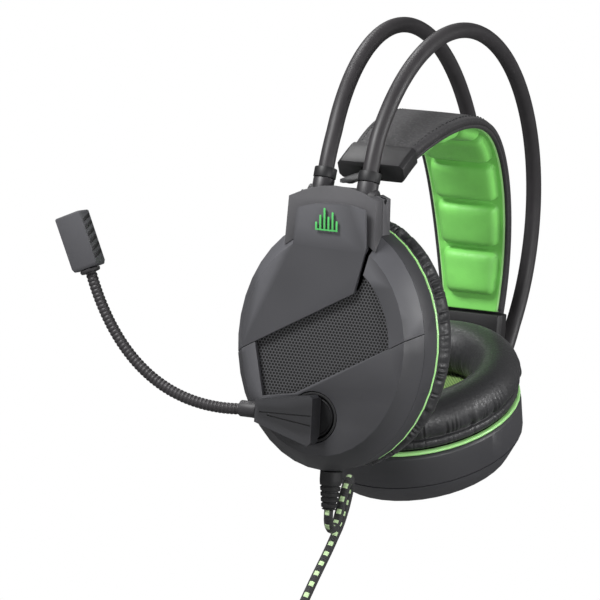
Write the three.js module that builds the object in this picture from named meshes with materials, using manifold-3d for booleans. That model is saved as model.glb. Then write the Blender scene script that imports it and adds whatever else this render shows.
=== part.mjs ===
// Over-ear gaming headset: twin-tube arch, self-adjusting padded headband, two hinged ear cups,
// a folding boom microphone and a braided USB cable.
// Millimetres, +Z up. The wearer faces -Y, so the wearer's left ear is on +X.
// The origin is the middle of the headband pad's underside, where it rests on the head.
import * as THREE from 'three';
import { mergeVertices } from 'three/addons/utils/BufferGeometryUtils.js';
import Module from 'manifold-3d';

const wasm = await Module();
wasm.setup();

// ---------------------------------------------------------------- driving dimensions
const GAP = 0.35;                      // air left between touching pieces

const ARCH_HALF_WIDTH = 94.6;          // tube arch, half of an ellipse on the tube centre lines
const ARCH_TOP_Z = 44.8;
const ARCH_CENTRE_Z = -38.7;
const TUBE_RADIUS = 3.3;
const TUBE_SPREAD_TOP = 14.4;          // half the distance between the two tubes
const TUBE_SPREAD_BASE = 9.8;

const HINGE_Z = -65.4;                 // cup hinge axes, parallel to Y
const HINGE_OUT = 12.3;                // hinge place in the cup's own frame
const HINGE_UP = 60.5;
const LEFT_TOE_IN = 28.4;              // degrees that each cup's lower end leans inwards
const RIGHT_TOE_IN = 42.7;

const CUP_RADIUS = 52;                 // cup half height; the half width is the oval share of it
const OVAL = 0.797;
const RIDGE = 15.2;                    // widest rim and outer face, outwards from the light ring
const FACE = 24;
const FACE_RADIUS = 45;
const COVER_WALL = 2.2;
const WINDOW_RADIUS = 36.5;            // half height of the oval that ends the grille's window
const CUSHION_DEPTH = 20.6;
const DRIVER_RADIUS = 20;

const BAND_TOP_Z = 12;                 // top of the strap over the middle of the head
const BAND_SHIFT = -7.4;               // how far the strap sits towards the right ear
const BAND_HALF_WIDTH = 19;
const BAND_END_HALF_WIDTH = 13.8;
const STRAP_HALF_LENGTH = 87;
const STRAP_THICKNESS = 3.4;
const PAD_HALF_LENGTH = 86;
const PAD_BASE = 1.6;
const PAD_LUMPS = 7;
const LUMP_PITCH = 22.7;
const CAP_LENGTH = 15.2;

const MIC_HUB = new THREE.Vector2(-2.2, -29.4);  // rearwards and up from the cup centre
const MIC_HUB_RADIUS = 8.4;
const MIC_SOCKET_RADIUS = 10.4;
const ARM_END = -24.5;                 // front end of the microphone's arm
const MIC_PLANE = 28;                  // boom centre line, outwards from the light ring
const ARM_TOP = 32;
const GOOSENECK_RADIUS = 2.35;
const CAPSULE_LEAN = 24.6;             // degrees forwards from the cup's own upright

const CABLE_RADIUS = 1.9;
const SURFACE_Z = -246;                // where the stored length of cable lies
const COIL_MID_RADIUS = 22;
const COIL_ROWS = 4;
const COIL_CENTRE = new THREE.Vector3(10.5, 28.9, SURFACE_Z);
const BOOT_LENGTH = 16;
const BOOT_OUT = 8;
const BOOT_REAR = 1;

// ---------------------------------------------------------------- materials
const plastic = (color, roughness = 0.55, metalness = 0) =>
  new THREE.MeshStandardMaterial({ color, roughness, metalness });
const shellGrey = plastic(0x4b4a4d, 0.5);
const darkGrey = plastic(0x2f2e31, 0.6);
const black = plastic(0x161618, 0.7);
const rubber = plastic(0x3a383b, 0.75);
const green = plastic(0x64c24a, 0.6);
const lightGreen = plastic(0x9be68a, 0.35);
const leatherette = plastic(0x29282a, 0.65);
const cloth = plastic(0x7f9c52, 0.9);
const steel = plastic(0xb9bcc0, 0.3, 1);
const boardGreen = plastic(0x1f5a34, 0.5);

// ---------------------------------------------------------------- shape helpers
// Keeps positions only, drops flat triangles and turns every face outwards.
function closed(geometry) {
  const bare = geometry.clone();
  bare.deleteAttribute('normal');
  bare.deleteAttribute('uv');
  const merged = mergeVertices(bare, 1e-4);
  const position = merged.attributes.position;
  const [a, b, c] = [new THREE.Vector3(), new THREE.Vector3(), new THREE.Vector3()];
  const triangles = [];
  let volume = 0;
  for (let i = 0; i < merged.index.count; i += 3) {
    const corner = [0, 1, 2].map((k) => merged.index.getX(i + k));
    if (new Set(corner).size < 3) continue;
    [a, b, c].forEach((point, k) => point.fromBufferAttribute(position, corner[k]));
    volume += a.dot(b.cross(c));
    triangles.push(corner);
  }
  if (volume < 0) triangles.forEach((corner) => corner.reverse());
  const result = new THREE.BufferGeometry();
  result.setAttribute('position', position);
  result.setIndex(triangles.flat());
  return result;
}

function solid(geometry) {
  const shape = closed(geometry);
  return new wasm.Manifold(new wasm.Mesh({
    numProp: 3,
    vertProperties: new Float32Array(shape.attributes.position.array),
    triVerts: new Uint32Array(shape.index.array),
  }));
}

function surface(manifold) {
  const { vertProperties, triVerts } = manifold.getMesh();
  const geometry = new THREE.BufferGeometry();
  geometry.setAttribute('position', new THREE.BufferAttribute(vertProperties, 3));
  geometry.setIndex(new THREE.BufferAttribute(triVerts, 1));
  return geometry;
}

function cut(geometry, ...tools) {
  return surface(tools.reduce((left, tool) => left.subtract(solid(tool)), solid(geometry)));
}

function overlap(geometry, tool) {
  return surface(solid(geometry).intersect(solid(tool)));
}

function join(...geometries) {
  return surface(geometries.map(solid).reduce((all, next) => all.add(next)));
}

// Rings of equally many points, joined one to the next and capped at both ends.
function loft(rings) {
  const sides = rings[0].length;
  const points = rings.flat();
  const index = [];
  for (let ring = 0; ring < rings.length - 1; ring += 1) {
    for (let side = 0; side < sides; side += 1) {
      const [a, b] = [ring * sides + side, ring * sides + ((side + 1) % sides)];
      index.push(a, b, b + sides, a, b + sides, a + sides);
    }
  }
  const last = (rings.length - 1) * sides;
  for (let side = 1; side < sides - 1; side += 1) {
    index.push(0, side + 1, side, last, last + side, last + side + 1);
  }
  const geometry = new THREE.BufferGeometry().setFromPoints(points);
  geometry.setIndex(index);
  return geometry;
}

// Turns [radius, height] pairs about +Z.
function turned(profile, segments = 16) {
  const points = profile.map(([radius, height]) => new THREE.Vector2(radius, height));
  return new THREE.LatheGeometry(points, segments).rotateX(Math.PI / 2);
}

// Turns [radius, outwards] pairs about the cup's outward axis, +X, and narrows them to the oval.
function ovalTurned(profile, segments = 40) {
  return turned(profile, segments).rotateY(Math.PI / 2).scale(1, OVAL, 1);
}

function roundTurned(profile, segments = 24) {
  return turned(profile, segments).rotateY(Math.PI / 2);
}

// An outline of [rearwards, up] pairs, or a Shape, made thick from one place on +X to another.
function plate(outline, from, to, curveSegments = 8) {
  const shape = outline instanceof THREE.Shape
    ? outline
    : new THREE.Shape(outline.map(([y, z]) => new THREE.Vector2(y, z)));
  const thick = new THREE.ExtrudeGeometry(shape, {
    depth: to - from, bevelEnabled: false, curveSegments,
  });
  return thick.rotateZ(Math.PI / 2).rotateY(Math.PI / 2).translate(from, 0, 0);
}

function box(size, centre) {
  return new THREE.BoxGeometry(...size).translate(...centre);
}

function rod(curve, radius, steps, halfSides = 4) {
  const section = new THREE.Shape().absarc(0, 0, radius, 0, 2 * Math.PI);
  return new THREE.ExtrudeGeometry(section, {
    extrudePath: curve, steps, curveSegments: halfSides, bevelEnabled: false,
  });
}

const headset = new THREE.Group();

function add(parent, name, geometry, material) {
  const mesh = new THREE.Mesh(closed(geometry), material);
  mesh.name = name;
  parent.add(mesh);
}

// ---------------------------------------------------------------- arch: tubes, collars, yokes
const ARCH_RISE = ARCH_TOP_Z - ARCH_CENTRE_Z;
const LEG_TOP = 11.2;                  // straight legs reach this far above the hinge
const FOOT_ANGLE = Math.asin((ARCH_CENTRE_Z - HINGE_Z - LEG_TOP) / ARCH_RISE);
const LEAN = Math.atan2(ARCH_HALF_WIDTH * Math.sin(FOOT_ANGLE), ARCH_RISE * Math.cos(FOOT_ANGLE));
const HINGE_X = ARCH_HALF_WIDTH * Math.cos(FOOT_ANGLE) - LEG_TOP * Math.tan(LEAN);
const LEG_LENGTH = LEG_TOP / Math.cos(LEAN) - 3;

// An ellipse over the head, run on below its widest place and then straight to the yokes.
class TubeLine extends THREE.Curve {
  constructor(side) {
    super();
    this.side = side;
  }

  getPoint(t, target = new THREE.Vector3()) {
    const end = Math.PI + FOOT_ANGLE;
    const leg = LEG_LENGTH / ARCH_RISE;
    const turn = THREE.MathUtils.lerp(-FOOT_ANGLE - leg, end + leg, t);
    const angle = THREE.MathUtils.clamp(turn, -FOOT_ANGLE, end);
    const past = Math.abs(turn - angle) * ARCH_RISE;
    const height = Math.sin(angle);
    const spread = THREE.MathUtils.lerp(TUBE_SPREAD_BASE, TUBE_SPREAD_TOP, Math.max(0, height));
    return target.set(
      ARCH_HALF_WIDTH * Math.cos(angle) - Math.sign(Math.cos(angle)) * past * Math.sin(LEAN),
      this.side * spread,
      ARCH_CENTRE_Z + ARCH_RISE * height - past * Math.cos(LEAN),
    );
  }
}

function buildTubes(parent) {
  add(parent, 'front_tube', rod(new TubeLine(-1), TUBE_RADIUS, 60, 5), rubber);
  add(parent, 'rear_tube', rod(new TubeLine(1), TUBE_RADIUS, 60, 5), rubber);
}

const SLEEVE_RADIUS = TUBE_RADIUS + GAP + 0.75;
const SLEEVE_TOP = 6.4;
const BARREL_RADIUS = 4;
const BARREL_HALF = 14.8;
const PIN_RADIUS = 1.25;

// The yoke joins both tube feet and turns on the hinge pin inside the cup's bracket.
// It is drawn about its pin with the tubes straight up, then leans with them.
function yoke() {
  const barrel = turned([[0, -BARREL_HALF], [BARREL_RADIUS, -BARREL_HALF],
    [BARREL_RADIUS, BARREL_HALF], [0, BARREL_HALF]], 16).rotateX(Math.PI / 2);
  const bore = turned([[0, -20], [PIN_RADIUS + GAP, -20], [PIN_RADIUS + GAP, 20], [0, 20]], 10)
    .rotateX(Math.PI / 2);
  const sleeve = turned([[0, -1], [SLEEVE_RADIUS, -1], [SLEEVE_RADIUS, SLEEVE_TOP],
    [0, SLEEVE_TOP]], 16);
  const socket = turned([[0, 2.6], [TUBE_RADIUS + GAP, 2.6], [TUBE_RADIUS + GAP, 9], [0, 9]], 16);
  const front = [0, -TUBE_SPREAD_BASE, 0];
  const rear = [0, TUBE_SPREAD_BASE, 0];
  const body = join(barrel, sleeve.clone().translate(...front), sleeve.clone().translate(...rear));
  return cut(body, bore, socket.clone().translate(...front), socket.clone().translate(...rear));
}

function collar() {
  const [inner, outer] = [TUBE_RADIUS + GAP, SLEEVE_RADIUS + 0.25];
  const [low, high] = [SLEEVE_TOP + GAP, SLEEVE_TOP + 4.6];
  return turned([[inner, low], [outer, low], [outer, high], [inner, high], [inner, low]], 16);
}

function buildHingeSide(parent, side, name) {
  const place = (geometry) => geometry.rotateY(side * LEAN).translate(side * HINGE_X, 0, HINGE_Z);
  add(parent, `${name}_yoke`, place(yoke()), darkGrey);
  for (const [word, sign] of [['front', -1], ['rear', 1]]) {
    add(parent, `${name}_${word}_collar`, place(collar().translate(0, sign * TUBE_SPREAD_BASE, 0)), black);
  }
}

// ---------------------------------------------------------------- headband
// Half arch of the strap's top surface, from the crown down to the left side.
const halfArch = new THREE.CubicBezierCurve(
  new THREE.Vector2(0, BAND_TOP_Z),
  new THREE.Vector2(31.6, BAND_TOP_Z),
  new THREE.Vector2(66.7, -28),
  new THREE.Vector2(77.2, -50.7),
);
const HALF_ARCH = halfArch.getLength();

// Place and direction of the arch at a distance from the crown, straight on past its end.
function archAt(distance) {
  const share = Math.min(Math.abs(distance) / HALF_ARCH, 1);
  const along = halfArch.getTangentAt(share);
  const past = Math.max(0, Math.abs(distance) - HALF_ARCH);
  return { point: halfArch.getPointAt(share).addScaledVector(along, past), along };
}

// A point so far along the strap from its middle, rearwards, and below its top surface.
function bandPoint(station, rear, depth) {
  const distance = station + BAND_SHIFT;
  const side = distance < 0 ? -1 : 1;
  const { point, along } = archAt(distance);
  return new THREE.Vector3(
    side * (point.x + depth * along.y),
    rear,
    point.y - depth * along.x,
  );
}

const bandHalfWidth = (station) => THREE.MathUtils.lerp(
  BAND_HALF_WIDTH, BAND_END_HALF_WIDTH, (Math.abs(station) / STRAP_HALF_LENGTH) ** 2);

// A strip of the band: each station has an outline of [rearwards, depth] pairs.
function bandStrip(stations, outline) {
  return loft(stations.map((station) =>
    outline(station).map(([rear, depth]) => bandPoint(station, rear, depth))));
}

function spaced(from, to, count) {
  return Array.from({ length: count + 1 }, (_, i) => from + ((to - from) * i) / count);
}

const PAD_DEPTH = STRAP_THICKNESS + GAP;
const BASE_DEPTH = PAD_DEPTH + PAD_BASE;
const LUMP_FLAT = 9;
const LUMP_HALF = 10.2;

function strap() {
  return bandStrip(spaced(-STRAP_HALF_LENGTH, STRAP_HALF_LENGTH, 26), (station) => {
    const half = bandHalfWidth(station);
    return [[-half, 0.9], [-half + 1.4, 0], [half - 1.4, 0], [half, 0.9],
      [half, STRAP_THICKNESS], [-half, STRAP_THICKNESS]];
  });
}

// Seven raised lumps on a thin base; the middle lump's underside is flat at height 0.
function headPad() {
  const levelDepth = (station) => {
    const { point, along } = archAt(station + BAND_SHIFT);
    return point.y / along.x;
  };
  const depths = [[-PAD_HALF_LENGTH, BASE_DEPTH]];
  for (let lump = 0; lump < PAD_LUMPS; lump += 1) {
    const order = lump - (PAD_LUMPS - 1) / 2;
    const middle = order * LUMP_PITCH;
    const [from, to] = [middle - LUMP_FLAT, middle + LUMP_FLAT];
    const full = (station) => (order === 0 ? levelDepth(station) : BAND_TOP_Z);
    depths.push([middle - LUMP_HALF, BASE_DEPTH], [from, full(from)]);
    depths.push([to, full(to)], [middle + LUMP_HALF, BASE_DEPTH]);
  }
  depths.push([PAD_HALF_LENGTH, BASE_DEPTH]);
  return loft(depths.map(([station, depth]) => {
    const base = bandHalfWidth(station) - 1.4;
    const foot = base - 0.8;
    const top = foot - 1.6;
    const lump = Math.max(depth, BASE_DEPTH + 0.02);
    return [[-base, PAD_DEPTH], [base, PAD_DEPTH], [base, BASE_DEPTH], [foot, BASE_DEPTH],
      [top, lump], [-top, lump], [-foot, BASE_DEPTH], [-base, BASE_DEPTH]]
      .map(([rear, below]) => bandPoint(station, rear, below));
  }));
}

function endCap(side) {
  const [start, stop] = [STRAP_HALF_LENGTH + GAP, STRAP_HALF_LENGTH + GAP + CAP_LENGTH];
  const half = BAND_END_HALF_WIDTH + 0.9;
  const body = bandStrip(spaced(side * start, side * stop, 3), () => [
    [-half, 0], [-half + 1.6, -1.4], [half - 1.6, -1.4], [half, 0],
    [half, 5.4], [half - 1.5, 7], [-half + 1.5, 7], [-half, 5.4]]);
  const mouth = bandStrip(spaced(side * (start + 4), side * (stop + 4), 3), () => [
    [-4.2, 1], [4.2, 1], [4.2, 4.8], [-4.2, 4.8]]);
  return cut(body, mouth);
}

// Elastic strap from inside the end cap to just above the yoke, between the two collars.
function elasticStrap(side) {
  const [half, thick] = [2.8, 0.8];
  const stop = STRAP_HALF_LENGTH + GAP + CAP_LENGTH;
  const start = bandPoint(side * (stop - 9), 0, 2.9);
  const mouth = bandPoint(side * stop, 0, 2.9);
  const anchor = new THREE.Vector3(
    side * (HINGE_X + 6.4 * Math.sin(LEAN)),
    0,
    HINGE_Z + 6.4 * Math.cos(LEAN),
  );
  const stations = [start, mouth, anchor];
  return loft(stations.map((point, i) => {
    const ahead = stations[Math.min(i + 1, 2)].clone().sub(stations[Math.max(i - 1, 0)]).normalize();
    const across = new THREE.Vector3(ahead.z, 0, -ahead.x).multiplyScalar(thick);
    return [[-half, -1], [half, -1], [half, 1], [-half, 1]].map(([rear, sign]) =>
      point.clone().addScaledVector(across, sign).setY(rear));
  }));
}

// ---------------------------------------------------------------- ear cups
function housing() {
  const end = RIDGE - GAP;
  return ovalTurned([[51, 1.05], [CUP_RADIUS, 2.2], [CUP_RADIUS, end], [49.6, end], [49.6, 4.6],
    [48.4, 1.05], [51, 1.05]]);
}

function outerShell() {
  return ovalTurned([[0, FACE], [FACE_RADIUS, FACE], [CUP_RADIUS - 0.1, RIDGE], [49.6, RIDGE],
    [FACE_RADIUS - 1.6, FACE - COVER_WALL], [0, FACE - COVER_WALL]]);
}

// The rear end of the grille's window is a stretch of an oval with the cup's own proportions.
const windowRear = spaced(3, 58, 8).map((degrees) => {
  const angle = THREE.MathUtils.degToRad(degrees);
  return [WINDOW_RADIUS * OVAL * Math.cos(angle), WINDOW_RADIUS * Math.sin(angle)];
});

// The slanted window that holds the grille, its corners going round from the lower front.
const WINDOW_FRONT = [-30, -1];
const WINDOW = [[-25, -23], [-11, -20.5], ...windowRear, [12.5, 23], WINDOW_FRONT];

// A deep groove runs up from the window's top corner beside the tab.
const SHADOW_GROOVE = [[12, 22.5], [13, 22.5], [16, 31.5], [19, 43.5], [16.5, 43.5], [14.5, 33]];

function spread(outline, by) {
  const [cy, cz] = [0, 2];
  return outline.map(([y, z]) => {
    const reach = Math.hypot(y - cy, z - cz);
    const scale = (reach + by) / reach;
    return [cy + (y - cy) * scale, cz + (z - cz) * scale];
  });
}

// Everything above the parting line, which runs on from the window's ends to the rim.
const UPPER_HALF = [[-60, -18], WINDOW_FRONT, windowRear[0], [60, 20], [60, 90], [-60, 90]];

// The tab that carries the emblem: it leaves the face under the fold and leans outwards.
function coverTab() {
  const side = [[FACE - COVER_WALL + 0.2, 30], [FACE, 30], [FACE, 39.5], [FACE + 2.6, 59.5],
    [FACE + 0.6, 59.5], [FACE - COVER_WALL + 0.45, 41]];
  const ring = (y) => side.map(([out, up]) => new THREE.Vector3(out, y, up));
  const outline = new THREE.Shape();
  outline.moveTo(-15, 29);
  outline.lineTo(-15.8, 41);
  outline.lineTo(-14.6, 55.4);
  outline.quadraticCurveTo(1, 61.2, 15.6, 57);
  outline.lineTo(16.2, 41);
  outline.lineTo(15, 29);
  return overlap(loft([ring(-20), ring(20)]), plate(outline, 15, 35));
}

function upperCover() {
  const half = overlap(outerShell(), plate(UPPER_HALF, 10, 30));
  return cut(join(half, coverTab()), plate(WINDOW, 10, 40), plate(SHADOW_GROOVE, 10, 40));
}

function lowerCover(withMic) {
  const gapped = UPPER_HALF.map(([y, z]) => [y, z - GAP]);
  const tools = [plate(gapped, 10, 30), plate(WINDOW, 10, 40)];
  if (withMic) {
    const clear = MIC_SOCKET_RADIUS + GAP;
    const hole = roundTurned([[0, 10], [clear, 10], [clear, 30], [0, 30]], 28);
    tools.push(hole.translate(0, MIC_HUB.x, MIC_HUB.y));
  }
  return cut(outerShell(), ...tools);
}

function grille() {
  const seat = FACE - COVER_WALL - GAP;
  return plate(spread(WINDOW, 1.6), seat - 1.2, seat);
}

// Bracket that saddles the cup's rim and carries the hinge pin, in two halves.
function bracketHalf(from, to) {
  const outline = new THREE.Shape();
  outline.moveTo(-20.6, 38);
  outline.lineTo(-20, 59.6);
  outline.quadraticCurveTo(0, 70.6, 18.6, 61);
  outline.lineTo(19.6, 38);
  const rim = ovalTurned([[0, -3], [CUP_RADIUS + GAP, -3], [CUP_RADIUS + GAP, RIDGE + 0.1],
    [FACE_RADIUS + GAP, FACE + 0.1], [0, FACE + 0.1]]);
  const cavity = box([13, 30.4, 30], [HINGE_OUT + 2.1, 0, HINGE_UP + 10]);
  const notch = box([9, 30.4, 20], [HINGE_OUT - 4, 0, HINGE_UP + 8.6]);
  const pin = turned([[0, -19], [PIN_RADIUS + 0.3, -19], [PIN_RADIUS + 0.3, 19], [0, 19]], 10)
    .rotateX(Math.PI / 2).translate(HINGE_OUT, 0, HINGE_UP);
  return cut(plate(outline, from, to, 6), rim, cavity, pin, notch);
}

function hingePin() {
  const [end, radius] = [18.6, PIN_RADIUS];
  return turned([[0, -end], [radius, -end], [radius, end], [0, end]], 10)
    .rotateX(Math.PI / 2).translate(HINGE_OUT, 0, HINGE_UP);
}

// A level-meter mark: a row of bars on a base line.
function emblem() {
  const bars = [3, 6, 9, 5.5, 7.5, 4].map((height, i) =>
    box([0.5, 0.8, height], [0, -4.5 + i * 1.8, height / 2]));
  const line = box([0.5, 9.8, 0.6], [0, 0, 0]);
  const tilt = -Math.atan2(2.6, 20);
  return join(line, ...bars).rotateY(-tilt)
    .translate(FACE + 1.3 + 0.3 + GAP, -0.8, 47.5);
}

function lightRing() {
  return ovalTurned([[49.4, -0.7], [51.3, -0.7], [51.8, -0.3], [51.8, 0.3], [51.3, 0.7],
    [49.4, 0.7], [49.4, -0.7]]);
}

function baffle() {
  const disc = ovalTurned([[0, 1.6], [48, 1.6], [49.2, 5], [46.8, 5], [46, 3.4], [0, 3.4]]);
  return cut(disc, roundTurned([[0, 0], [DRIVER_RADIUS + GAP, 0], [DRIVER_RADIUS + GAP, 9], [0, 9]], 32));
}

function driver() {
  return roundTurned([[0, 1.9], [16, 1.2], [DRIVER_RADIUS, 1.2], [DRIVER_RADIUS, 4.2], [13, 6],
    [13, 10.5], [0, 10.5]], 28);
}

function driverCloth() {
  return ovalTurned([[0, -0.1], [44, -0.1], [44, 0.7], [0, 0.7]], 28);
}

function circuitBoard() {
  return box([1.4, 44, 26], [14.5, 0, 6]);
}

function earCushion() {
  const back = -0.7 - GAP;
  return ovalTurned([[31, back], [50.6, back], [51, -2], [50.9, -4.8], [49.9, -5.6], [52.2, -8.6],
    [52.2, -12], [50, -16], [46.4, -19.2], [42.4, -CUSHION_DEPTH], [36.6, -CUSHION_DEPTH],
    [31.6, -18.4], [28, -14], [27, -8.4], [28.6, -4], [31, back]]);
}

function cupPieces(name, side) {
  const pieces = [
    ['bracket_outer', bracketHalf(RIDGE - 0.05, 22), shellGrey],
    ['bracket_inner', bracketHalf(7, RIDGE - 0.05 - GAP), shellGrey],
    ['hinge_pin', hingePin(), steel],
    ['cup_housing', housing(), shellGrey],
    ['upper_cover', upperCover(), shellGrey],
    ['lower_cover', lowerCover(side > 0), shellGrey],
    ['grille', grille(), black],
    ['emblem', emblem(), green],
    ['light_ring', lightRing(), lightGreen],
    ['baffle', baffle(), darkGrey],
    ['driver', driver(), darkGrey],
    ['driver_cloth', driverCloth(), cloth],
    ['circuit_board', circuitBoard(), boardGreen],
    ['ear_cushion', earCushion(), leatherette],
  ];
  return pieces.map(([word, geometry, material]) => [`${name}_${word}`, geometry, material]);
}

// ---------------------------------------------------------------- microphone, on the left cup
// Boom centre line in the cup's frame: the [rearwards, up] control points of one cubic bend.
const BOOM = [[-33, -29], [-66, -32], [-90, -14.5], [-103.5, 19.5]];

function micPieces() {
  const [hubY, hubZ] = [MIC_HUB.x, MIC_HUB.y];
  const socket = roundTurned([[3.6, 18.6], [3.6, 19.4], [9.1, 19.4], [9.3, 23.6],
    [MIC_SOCKET_RADIUS, 23.6], [MIC_SOCKET_RADIUS, 18.6], [3.6, 18.6]], 28).translate(0, hubY, hubZ);
  const hub = roundTurned([[0, 17.4], [3.1, 17.4], [3.1, 19.8], [MIC_HUB_RADIUS, 19.8],
    [MIC_HUB_RADIUS, 22.2], [7.8, 22.7], [7.2, 22.2], [0, 22.2]], 28).translate(0, hubY, hubZ);
  const outline = [[ARM_END, -33], [-0.6, -40.4], [1, -39], [0.6, -20.9], [-0.6, -19.8],
    [ARM_END, -23.9]];
  const foot = overlap(plate(outline, 22.7 + GAP, 26), roundTurned([[0, 20], [8.6, 20], [8.6, 30],
    [0, 30]], 28).translate(0, hubY, hubZ));
  const lowGroove = [[-19, -29.9], [0.5, -32.3], [0.5, -31.7], [-19, -29.4]];
  const highGroove = [[-22.5, -28.9], [0.5, -28.3], [0.5, -27.7], [-22.5, -28.4]];
  const arm = cut(join(plate(outline, FACE + GAP + 0.3, ARM_TOP), foot),
    plate(lowGroove, ARM_TOP - 0.7, 40), plate(highGroove, ARM_TOP - 0.7, 40));
  const ferrule = turned([[0, 0], [3.6, 0], [3.4, 2.6], [3.4, 7.6], [0, 7.6]], 16)
    .rotateX(Math.PI / 2).translate(MIC_PLANE, ARM_END - GAP, -28.6);
  const line = new THREE.CubicBezierCurve3(...BOOM.map(([y, z]) => new THREE.Vector3(MIC_PLANE, y, z)));
  const neck = rod(line, GOOSENECK_RADIUS, 26, 4);
  const tip = line.getPoint(1);
  const place = (geometry) => geometry
    .rotateX(THREE.MathUtils.degToRad(CAPSULE_LEAN))
    .translate(tip.x, tip.y, tip.z);
  const throat = place(turned([[0, 0.5], [4, 0.5], [4.4, 1.9], [0, 1.9]], 16));
  const capsule = place(loft([[1.9 + GAP, 4.2, 5.2], [3.8, 4.7, 5.8], [25.3, 4.7, 5.9], [25.9, 4.3, 5.5]]
    .map(([up, halfOut, halfAcross]) => [[-1, -1], [1, -1], [1, 1], [-1, 1]]
      .map(([a, b]) => new THREE.Vector3(a * halfOut, b * halfAcross, up)))));
  return [
    ['mic_socket', socket, black],
    ['mic_hub', hub, shellGrey],
    ['mic_arm', arm, shellGrey],
    ['mic_ferrule', ferrule, darkGrey],
    ['mic_gooseneck', neck, rubber],
    ['mic_throat', throat, darkGrey],
    ['mic_capsule', capsule, darkGrey],
  ];
}

// ---------------------------------------------------------------- cable
function boot() {
  return turned([[0, -0.2], [4.7, -0.2], [4.5, -6], [3.2, -BOOT_LENGTH], [0, -BOOT_LENGTH]], 16)
    .translate(BOOT_OUT, BOOT_REAR, -CUP_RADIUS - GAP);
}

// Where the cable hangs free, from the boot's end to the coil.
const CABLE_ROUTE = [
  [22.7, 0.9, -180.8], [18.6, 0.5, -182.2], [14.4, 0, -181.3], [11.4, -0.4, -178.3],
  [10.3, -0.7, -174], [10.3, -0.8, -168.4], [10.2, -0.9, -162.5], [7.9, -1.6, -156.9],
  [2.7, -3.2, -154.5], [-2.6, -4.7, -156.9], [-4.9, -5.4, -162.5], [-4.7, -5.4, -168],
  [-3.4, -5.2, -173.6], [-1, -5, -179.5], [2, -4.8, -187], [5, -4.8, -194.4], [8, -4.8, -201.8],
  [10.4, -5, -209.4], [12.2, -5.6, -217.4], [12.8, -6.6, -225.4], [11.8, -7.4, -232.6],
  [8.6, -7, -239], [3.5, -5, -242.8], [-2, -2, -243.9], [-7, 2.4, -244.05],
];

// From the coil's far side to the plug, which lies on the same surface.
const PLUG_START = new THREE.Vector3(42.4, 8, SURFACE_Z + 4.4);
const TAIL_ROUTE = [
  [42.4, 30.5, SURFACE_Z + 2], [42.5, 25, SURFACE_Z + 2.1], [42.5, 20, SURFACE_Z + 2.7],
  [42.4, 15, SURFACE_Z + 3.8], [42.4, 11, SURFACE_Z + 4.35], [42.4, 8, SURFACE_Z + 4.4],
];

const toPoints = (route) => route.map((place) => new THREE.Vector3(...place));

function coilRing() {
  const half = COIL_ROWS * CABLE_RADIUS;
  const [inner, outer] = [COIL_MID_RADIUS - half, COIL_MID_RADIUS + half];
  return turned([[inner, GAP], [outer, GAP], [outer, 2 * half], [inner, 2 * half], [inner, GAP]], 32);
}

// A strap over the coil's top and down both sides.
function coilTie() {
  const size = 2 * COIL_ROWS * CABLE_RADIUS;
  const [wide, wall] = [4.6, 1];
  const outer = box([size + 2 * (GAP + wall), wide, size + GAP + wall - 0.5],
    [0, 0, (size + GAP + wall + 0.5) / 2]);
  const inner = box([size + 2 * GAP, wide + 2, size + GAP], [0, 0, (size + GAP) / 2]);
  return cut(outer, inner).translate(-COIL_MID_RADIUS, 0, 0);
}

// Plug parts point towards -Y from where the cable goes in.
function plugParts() {
  const relief = turned([[0, 0.35], [2.9, 0.35], [3.7, 9], [0, 9]], 14).rotateX(Math.PI / 2);
  const body = loft([[9.35, 6, 3.1], [12, 7.6, 4.1], [31, 7.8, 4.2], [32, 7.4, 3.9]]
    .map(([away, halfWide, halfHigh]) => [[-1, -1], [1, -1], [1, 1], [-1, 1]]
      .map(([x, z]) => new THREE.Vector3(x * halfWide, -away, z * halfHigh))));
  const shell = box([12, 18, 4.5], [0, -32.35 - 9, 0]);
  const mouth = box([11.2, 14, 3.7], [0, -32.35 - 12, 0]);
  return { relief, body, shell: cut(shell, mouth) };
}

function buildCable(parent, exit) {
  const hanging = new THREE.CatmullRomCurve3([exit, ...toPoints(CABLE_ROUTE)]);
  add(parent, 'cable', rod(hanging, CABLE_RADIUS, 64, 4), black);
  add(parent, 'cable_coil', coilRing().translate(...COIL_CENTRE.toArray()), black);
  add(parent, 'cable_tie', coilTie().translate(...COIL_CENTRE.toArray()), darkGrey);
  const tail = new THREE.CatmullRomCurve3(toPoints(TAIL_ROUTE));
  add(parent, 'cable_tail', rod(tail, CABLE_RADIUS, 6, 4), black);
  const { relief, body, shell } = plugParts();
  add(parent, 'plug_relief', relief.translate(...PLUG_START.toArray()), rubber);
  add(parent, 'plug_body', body.translate(...PLUG_START.toArray()), darkGrey);
  add(parent, 'plug_shell', shell.translate(...PLUG_START.toArray()), steel);
}

// ---------------------------------------------------------------- assembly
function mirrored(geometry, side) {
  return side > 0 ? geometry : geometry.scale(-1, 1, 1);
}

function buildCup(parent, name, side, toeIn, pieces) {
  const cup = new THREE.Group();
  cup.position.set(side * HINGE_X, 0, HINGE_Z);
  cup.rotation.y = THREE.MathUtils.degToRad(side * toeIn);
  for (const [word, geometry, material] of pieces) {
    geometry.translate(-HINGE_OUT, 0, -HINGE_UP);
    add(cup, word, mirrored(geometry, side), material);
  }
  parent.add(cup);
  cup.updateMatrixWorld(true);
  return cup;
}

add(headset, 'headband_strap', strap(), leatherette);
add(headset, 'head_pad', headPad(), green);
buildTubes(headset);
for (const [name, side] of [['left', 1], ['right', -1]]) {
  add(headset, `${name}_end_cap`, endCap(side), darkGrey);
  add(headset, `${name}_elastic_strap`, elasticStrap(side), black);
  buildHingeSide(headset, side, name);
}
const leftPieces = [...cupPieces('left', 1), ...micPieces(), ['cable_boot', boot(), rubber]];
const leftCup = buildCup(headset, 'left', 1, LEFT_TOE_IN, leftPieces);
buildCup(headset, 'right', -1, RIGHT_TOE_IN, cupPieces('right', -1));

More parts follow.
